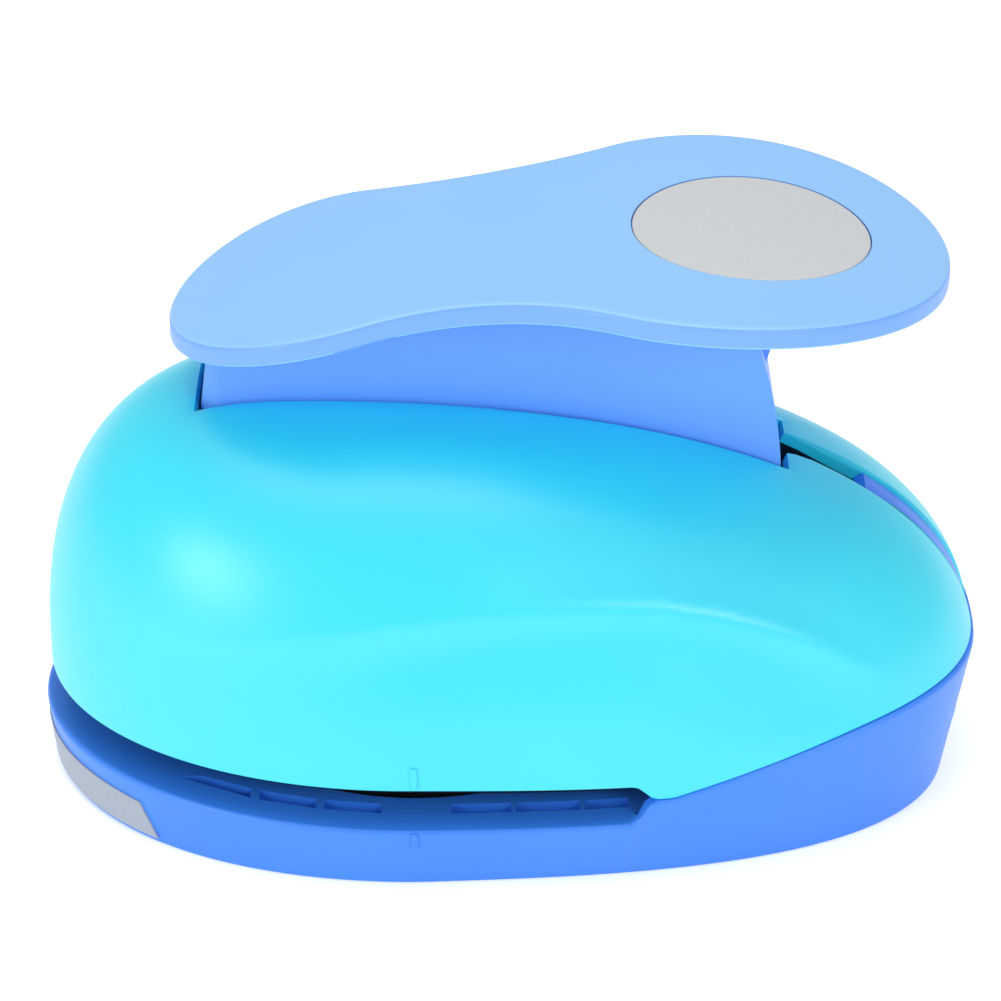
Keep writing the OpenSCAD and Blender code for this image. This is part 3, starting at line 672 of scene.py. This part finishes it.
loop = np.concatenate([lip_in[:, None], first_row, above_edge, rolled[:, 1:],
                       np.stack(inside_rows, axis=1), inner], axis=1)
cover = finish_mesh("cover_moulding", mesh_from("cover_moulding", [swept_solid(loop)]), COVER_ABS)
print("cover:", len(cover.data.polygons), "faces")

# %% [markdown]
# ## Screw bosses and bars on the cover
# Four bored posts inside the cover take the long screws from below and the short ones at the nose.
# Each is a stack of rings: up the bore, round a small edge, and up the outside into the dome.

# %% Cover bosses and bars
NOSE_X, NOSE_Y, NOSE_LOW = -48.0, 28.5, 18.22
BOSS_EDGE, BOSS_STEPS = 0.3, 48


def bored_boss(x, y, radius, bore, low, high):
    section = ((bore, high - 2), (bore, low), (radius - BOSS_EDGE, low), (radius, low + BOSS_EDGE),
               (radius, high))
    return ring_solid([circle_ring(x, y, r, z, BOSS_STEPS) for r, z in section])


bosses = []
for side in (-1, 1):
    bosses += [bored_boss(BOSS_X, side * BOSS_Y, 4.0, 1.55, LIP_Z + 0.6, 44.4),
               bored_boss(NOSE_X, side * NOSE_Y, 3.4, 1.35, NOSE_LOW, 57)]
boss_piece = finish_mesh("bosses", mesh_from("bosses", bosses), COVER_ABS)
COVER_BAR, COVER_BAR_Y, COVER_BAR_Z = (1.3, 1.2, 4.0), COVER_HALF - 0.25, LIP_Z + 2.6
bars = [rounded_block("bar", COVER_BAR, (DIE_X, side * COVER_BAR_Y, COVER_BAR_Z), BAR_R, COVER_ABS)
        for side in (-1, 1)]
cover = joined("cover_moulding", [cover, boss_piece] + bars)
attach(cover, "root")
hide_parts("cover_shell")
print("cover with bosses:", len(cover.data.polygons), "faces")

# %% [markdown]
# ## The rear strip
# A blue strip clips into the narrow slot at the back and follows the dome. It is a ribbon with its
# own thickness and rounded long edges, swept up the dome's middle line, and a leg stands below it.

# %% Rear strip
def rear_line(climb, inset):
    return dome(np.full_like(climb, 1e-6), climb, inset)[:, [0, 2]]


STRIP_HALF, STRIP_INSET, STRIP_T, STRIP_STEPS = 3.0, 0.4, 2.0, 48
STRIP_LOW, STRIP_TOP = 0.006, 0.5465
LEG = (76.6, 78.6, -2.9, 2.9, 12.1, 31)
strip_h = np.linspace(STRIP_LOW, STRIP_TOP, STRIP_STEPS)
outer_line, inner_line = rear_line(strip_h, STRIP_INSET), rear_line(strip_h, STRIP_INSET + STRIP_T)
section = [(-1, 1.0), (-1, 0.25), (-0.92, 0.06), (-0.78, 0.0),
           (0.78, 0.0), (0.92, 0.06), (1, 0.25), (1, 1.0)]
ribbon = np.array([[[o[0] + (i[0] - o[0]) * depth, w * STRIP_HALF, o[1] + (i[1] - o[1]) * depth]
                    for w, depth in section] for o, i in zip(outer_line, inner_line)])
strip = finish_mesh("rear_strip", mesh_from("rear_strip", [swept_solid(ribbon), block(*LEG)]), BASE_ABS)
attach(strip, "root")
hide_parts("rear_spine")
print("rear strip:", len(strip.data.polygons), "faces")

# %% [markdown]
# ## The nose label
# A grey vinyl label is wrapped round the nose. It is a thin ribbon that follows the leaning wall,
# with slanted ends. It lies 0.36 mm proud of the plastic, thicker than a real label, so that its
# edge shows.

# %% Nose label
LOW_REACH, TOP_REACH, LABEL_STEPS = math.radians(48), math.radians(44.5), 160
LABEL_LOW, LABEL_TOP, CORNER_DROP = 1.2, 8.2, 0.5
share = np.linspace(-1, 1, LABEL_STEPS)


def wall_row(up, out):
    t = math.pi + share * (LOW_REACH + (TOP_REACH - LOW_REACH) * up)
    z = LABEL_LOW + (LABEL_TOP - CORNER_DROP * np.abs(share) ** 6 - LABEL_LOW) * up
    lean = z / rim(base_outline(t, 1, 0)[0])
    foot, top = (np.stack(base_outline(t, level, -out), axis=1) for level in (0, 1))
    return np.column_stack([foot + (top - foot) * lean[:, None], z])


LABEL_SECTION = ((0, 0.02), (0, 0.3), (0.03, 0.36), (0.5, 0.36), (0.97, 0.36), (1, 0.3), (1, 0.02))
label_loop = np.stack([wall_row(up, out) for up, out in LABEL_SECTION], axis=1)
label = finish_mesh("nose_label", mesh_from("nose_label", [swept_solid(label_loop)]), LABEL_FOIL)
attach(label, "root")
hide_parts("front_label")
print("label:", len(label.data.polygons), "faces")

# %% [markdown]
# ## The handle
# The handle is an arched plate whose outline is two round ends joined by a hollow waist. All its
# arcs meet smoothly, so the same outline can be set in by any distance just by changing the radii.
# Stacking set-in outlines gives the rounded rim, the narrow side band and the sloping top edge.

# %% Handle outline
PAD_FRONT_X, PAD_FRONT_R, PAD_REAR_X, PAD_REAR_R, WAIST_R = -29.65, 27.4, 36.25, 38.0, 58.7
CREST_X, CREST_Z, ARCH_R = 27.0, 101.0, 234.0
ARCH_Z = CREST_Z - ARCH_R
span = PAD_REAR_X - PAD_FRONT_X
d1, d2 = PAD_FRONT_R + WAIST_R, PAD_REAR_R + WAIST_R
waist_dx = (d1 * d1 - d2 * d2 + span * span) / (2 * span)
waist_y = math.sqrt(d1 * d1 - waist_dx * waist_dx)
rear_turn = math.atan2(waist_y, waist_dx - span)
front_turn = math.atan2(waist_y, waist_dx)


def arc(cx, cy, radius, a0, a1, count):
    a = a0 + (a1 - a0) * (np.arange(count) + 0.5) / count
    return np.column_stack([cx + radius * np.cos(a), cy + radius * np.sin(a)])


def arch(x):
    return ARCH_Z + np.sqrt(ARCH_R ** 2 - (x - CREST_X) ** 2)


def pad_ring(inset, depth):
    side = np.vstack([arc(PAD_REAR_X, 0, PAD_REAR_R - inset, 0, rear_turn, 110),
                      arc(PAD_FRONT_X + waist_dx, waist_y, WAIST_R + inset,
                          math.pi + rear_turn, math.pi + front_turn, 60),
                      arc(PAD_FRONT_X, 0, PAD_FRONT_R - inset, front_turn, math.pi, 90)])
    ring = np.vstack([side, side[::-1] * [1, -1]])
    return np.column_stack([ring, arch(ring[:, 0]) - depth])


print("handle from", round(PAD_FRONT_X - PAD_FRONT_R, 2), "to", round(PAD_REAR_X + PAD_REAR_R, 2), "mm")

# %% [markdown]
# ## The handle plate and its disc
# Each row of the section gives a set-in distance and a depth below the arch, from the underside up.
# A shallow round recess takes the grey disc. The plate's side gets a darker copy of the sky blue as
# painted shade: it faces the front lights squarely, so in one shade it would look paler than the top.

# %% Handle plate
RIM_SECTION = ((2.2, 4.0), (0.9, 3.98), (0.35, 3.8), (0.08, 3.45), (0.0, 3.1), (0.0, 1.5), (0.0, 0.9),
               (0.07, 0.6), (0.24, 0.32), (0.5, 0.14), (0.85, 0.04), (1.3, 0.0), (2.2, 0.0))
pad_rings = [pad_ring(inset, depth) for inset, depth in RIM_SECTION]
pad = finish_mesh("handle_plate", mesh_from("handle_plate", [ring_solid(pad_rings)]), SKY_ABS)
DISC_X, DISC_R, DISC_GAP = 40.95, 20.0, 0.22
DISC_SECTION = ((0, 0.93), (0, 0.18), (0.05, 0.1), (0.16, 0.04), (0.4, 0.02))
disc_turn = math.asin((DISC_X - CREST_X) / ARCH_R)


def on_arch(points, turn):
    c, s = math.cos(turn), math.sin(turn)
    lay = np.array([[c, 0, s], [0, 1, 0], [-s, 0, c]])
    return np.asarray(points) @ lay.T + np.array([CREST_X, 0, ARCH_Z])


def arched_disc(radius, depths, steps=192):
    """Rings of a disc whose faces follow the arch, listed as (set-in, depth below the arch)."""
    a = around(steps)
    rings = []
    for inset, depth in depths:
        x, y = (radius - inset) * np.cos(a), (radius - inset) * np.sin(a)
        rings.append(on_arch(np.column_stack([x, y, np.sqrt((ARCH_R - depth) ** 2 - x * x)]), disc_turn))
    return ring_solid(rings)


boolean(pad, [arched_disc(DISC_R + DISC_GAP, [(0, 0.95), (0, -3)])], "DIFFERENCE")
# The plate's steep side faces take the darker blue, as painted shade.
pad.data.materials.append(PAINTED_SHADE_SIDE_ABS)
SIDE_SLOPE = 0.6
for face in pad.data.polygons:
    if abs(face.normal.z) < SIDE_SLOPE:
        face.material_index = len(pad.data.materials) - 1
pad.data.set_sharp_from_angle(angle=CREASE_ANGLE)
even_shading(pad)
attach(pad, "handle")
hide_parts("handle_pad")
disc = finish_mesh("handle_inlay", mesh_from("handle_inlay", [arched_disc(DISC_R, DISC_SECTION)]), DISC_FOIL)
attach(disc, "handle")
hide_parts("handle_disc")
print("handle:", len(pad.data.polygons), "faces")

# %% [markdown]
# ## The lever arm
# The arm is a hollow moulding, so its CAD solid already has the right walls. A copy of it gets a
# small rounded bevel on every edge, because a moulded part is never knife-sharp. Dissolving the
# flat triangles first gives the bevel clean faces to work with.


# %% Rounded copies of CAD solids
FLAT_ANGLE, EDGE_ANGLE = math.radians(1.2), math.radians(28)


def rounded_copy(node, name, material, radius):
    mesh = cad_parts[node].data.copy()
    tidy = bmesh.new()
    tidy.from_mesh(mesh)
    bmesh.ops.remove_doubles(tidy, verts=tidy.verts, dist=1e-6)
    bmesh.ops.dissolve_limit(tidy, angle_limit=FLAT_ANGLE, verts=tidy.verts, edges=tidy.edges)
    tidy.to_mesh(mesh)
    tidy.free()
    piece = finish_mesh(name, mesh, material)
    edge = piece.modifiers.new("edge", "BEVEL")
    edge.width, edge.segments, edge.limit_method = radius * MM, 2, "ANGLE"
    edge.angle_limit, edge.harden_normals = EDGE_ANGLE, False
    apply_modifiers(piece)
    smooth(piece.data)
    piece.data.set_sharp_from_angle(angle=CREASE_ANGLE)
    even_shading(piece)
    return piece


# Its darker blue is painted shade under the handle plate.
arm = rounded_copy("lever_arm", "lever_arm_moulding", SHADED_ARM_ABS, 0.35)
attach(arm, "handle")
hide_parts("lever_arm")
print("arm:", len(arm.data.polygons), "faces")

# %% [markdown]
# ## Return springs
# Each spring is a round wire swept along a helix whose end coils lie nearly flat. On the real punch
# the four springs shorten as the punch goes down; here they are built at one length.

# %% Springs
SPRING_LOW, SPRING_TOP, COIL_R, WIRE_R, TURNS = 18.2, 34.0, 4.0, 0.65, 5
POST_DX, POST_Y = 40.5, 22.0
POSTS = [(DIE_X + sx * POST_DX, sy * POST_Y) for sx in (-1, 1) for sy in (-1, 1)]
PER_TURN, WIRE_SIDES, END_GAP = 40, 12, 0.05
path = np.arange(TURNS * PER_TURN + 1) / PER_TURN
closed = np.interp(path, [0, 0.8, TURNS - 0.8, TURNS], [0, 0.08, 0.92, 1])
wire_z = SPRING_LOW + WIRE_R + END_GAP + (SPRING_TOP - SPRING_LOW - 2 * (WIRE_R + END_GAP)) * closed
wind = 2 * np.pi * path[:, None]
section_turn = 2 * np.pi * np.arange(WIRE_SIDES)[None, :] / WIRE_SIDES
reach = COIL_R + WIRE_R * np.cos(section_turn)
coil_x, coil_y = reach * np.cos(wind), reach * np.sin(wind)
coil_z = wire_z[:, None] + WIRE_R * np.sin(section_turn)
springs = [swept_solid(np.stack([x + coil_x, y + coil_y, coil_z], axis=-1)) for x, y in POSTS]
spring = finish_mesh("return_coils", mesh_from("return_coils", springs), ZINC_PLATE)
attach(spring, "root")
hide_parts("return_springs")
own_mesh(spring)
print("springs:", len(spring.data.polygons), "faces")

# %% [markdown]
# ## Metal parts inside
# The plates, pins, posts and screws keep their CAD meshes, because those are already exact. Each
# gets the finish it has on the real punch by assigning a material to its slot. The plates round the
# paper gap are blackened steel, kept this dark so that they also stand as painted shade in the throat
# under the cover's edge. The hidden CAD shells get their own finish too.

# %% Finishes on CAD parts
FINISHES = {"die_plate": BLACK_STEEL_AND_SHADE, "paper_stop": ZINC_PLATE, "guide_plate": BLACK_STEEL_AND_SHADE,
            "die_screws": ZINC_PLATE, "guide_posts": GROUND_STEEL, "fulcrum_bracket": GROUND_STEEL,
            "bracket_screws": ZINC_PLATE, "pivot_pin": GROUND_STEEL, "pivot_clips": ZINC_PLATE,
            "cover_screws": ZINC_PLATE, "nose_screws": ZINC_PLATE, "press_pin": GROUND_STEEL,
            "pad_screws": ZINC_PLATE, "punch_cutter": GROUND_STEEL, "punch_bridge": DIE_CAST,
            "bridge_screws": ZINC_PLATE, "guide_bushes": NYLON}
REPLACED = {"base_shell": BASE_ABS, "rear_spine": BASE_ABS, "cover_shell": COVER_ABS,
            "front_label": LABEL_FOIL, "handle_pad": SKY_ABS, "handle_disc": DISC_FOIL,
            "lever_arm": SHADED_ARM_ABS, "return_springs": ZINC_PLATE}
for node, material in {**FINISHES, **REPLACED}.items():
    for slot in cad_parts[node].material_slots:
        slot.material = material
print("finished CAD parts:", len(FINISHES))

# %% [markdown]
# ## Floor and light
# A plain white floor, a soft light from the front left, a narrower one from the front right and a
# wide one overhead give plastic its broad highlights without hard shadows. The world is an even
# white, turned down, which fills the shadows. The floor glows a little, so that it stays white.

# %% Stage
FLOOR_HALF = 3.0
floor_mesh = bpy.data.meshes.new("floor")
floor_mesh.from_pydata([(-FLOOR_HALF, -FLOOR_HALF, 0), (FLOOR_HALF, -FLOOR_HALF, 0),
                        (FLOOR_HALF, FLOOR_HALF, 0), (-FLOOR_HALF, FLOOR_HALF, 0)], [], [(0, 1, 2, 3)])
floor = bpy.data.objects.new("floor", floor_mesh)
bpy.context.scene.collection.objects.link(floor)
FLOOR_PAINT, _, floor_shader = new_material("matt white floor")
floor_shader.inputs["Base Color"].default_value = linear("#FFFFFF")
floor_shader.inputs["Roughness"].default_value = 0.9
floor_shader.inputs["Specular IOR Level"].default_value = 0.1
floor_shader.inputs["Emission Color"].default_value = linear("#FFFFFF")
floor_shader.inputs["Emission Strength"].default_value = 0.34
floor_mesh.materials.append(FLOOR_PAINT)


def soft_light(name, place, aim, size, power):
    lamp = bpy.data.lights.new(name, "AREA")
    lamp.shape, lamp.size, lamp.size_y = "RECTANGLE", size[0], size[1]
    lamp.energy = power
    holder = bpy.data.objects.new(name, lamp)
    holder.location = place
    holder.rotation_euler = (Vector(aim) - Vector(place)).to_track_quat("-Z", "Y").to_euler()
    bpy.context.scene.collection.objects.link(holder)


soft_light("front_left", (-0.72, -0.62, 0.38), (-0.03, 0, 0.045), (0.38, 0.38), 2.6)
soft_light("front_right", (0.5, -0.7, 0.5), (0.02, 0, 0.05), (0.4, 0.2), 1.8)
soft_light("overhead", (0.0, 0.1, 1.0), (0, 0, 0.05), (0.9, 0.9), 4.2)

world = bpy.context.scene.world or bpy.data.worlds.new("studio")
bpy.context.scene.world = world
world.use_nodes = True
WORLD_STRENGTH = 0.56
background = next(n for n in world.node_tree.nodes if n.type == "BACKGROUND")
background.inputs["Color"].default_value = linear("#FFFFFF")
background.inputs["Strength"].default_value = WORLD_STRENGTH
bpy.context.scene.view_settings.view_transform = "Standard"
bpy.context.scene.view_settings.look = "None"

# %% [markdown]
# ## Camera
# The camera looks square at the near side from about thirty degrees up. A long lens from over half
# a metre away keeps the perspective gentle, as a product picture does.

# %% Camera
ELEVATION = math.radians(29.8)
DISTANCE, AIM = 0.611, (-0.00105, 0.0, 0.04785)
SENSOR_MM, FOCAL_MM = 36.0, 125.874126
lens = bpy.data.cameras.new("studio_camera")
lens.sensor_width, lens.lens = SENSOR_MM, FOCAL_MM
lens.clip_start, lens.clip_end = 0.01, 20.0
camera = bpy.data.objects.new("studio_camera", lens)
camera.location = (AIM[0], AIM[1] - DISTANCE * math.cos(ELEVATION),
                   AIM[2] + DISTANCE * math.sin(ELEVATION))
camera.rotation_euler = (math.pi / 2 - ELEVATION, 0, 0)
bpy.context.scene.collection.objects.link(camera)
bpy.context.scene.camera = camera
print("camera at", [round(v, 4) for v in camera.location])
